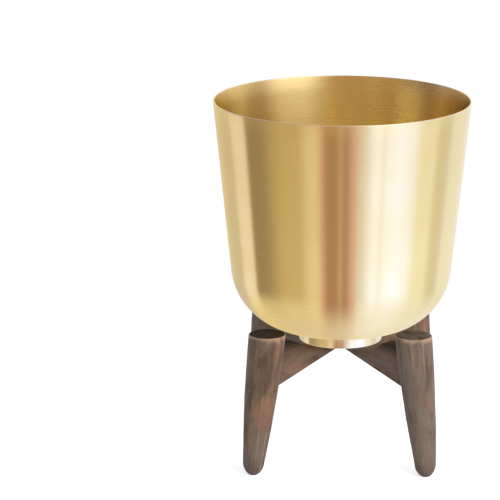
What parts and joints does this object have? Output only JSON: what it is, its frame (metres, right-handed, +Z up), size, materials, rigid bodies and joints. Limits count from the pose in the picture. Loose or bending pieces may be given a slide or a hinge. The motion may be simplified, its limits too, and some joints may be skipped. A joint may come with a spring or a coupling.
{
  "type": "planter with stand",
  "caption": "Round tapered brushed-brass planter pot on a foot ring, resting on a crossed wooden stand with splayed turned legs; the pot lifts off the stand.",
  "frame": {"origin": "on the floor under the middle of the pot, at the centre of the bottom of the bounding box", "axes": "+Z up along the pot's axis, front towards -Y, +X to the right seen from the front; the legs stand on the diagonals"},
  "size_m": [0.203, 0.203, 0.287],
  "materials": {
    "brushed_brass": "satin, brushed round the pot",
    "walnut_stained_wood": "hand-turned, dark walnut stain, low sheen",
    "beech_dowel": "plain sanded"
  },
  "bodies": {
    "stand": {"leg_front_left": "walnut_stained_wood", "leg_front_right": "walnut_stained_wood", "leg_rear_right": "walnut_stained_wood", "leg_rear_left": "walnut_stained_wood", "cross_rail_lower": "walnut_stained_wood", "cross_rail_upper": "walnut_stained_wood", "dowels_front_left": "beech_dowel", "dowels_front_right": "beech_dowel", "dowels_rear_right": "beech_dowel", "dowels_rear_left": "beech_dowel"},
    "pot": {"pot_shell": "brushed_brass", "foot_ring": "brushed_brass"}
  },
  "joints": [
    {"name": "pot_lift", "type": "slide", "parent": "stand", "child": "pot", "axis": [0, 0, 1], "range_m": [0, 0.15]}
  ]
}
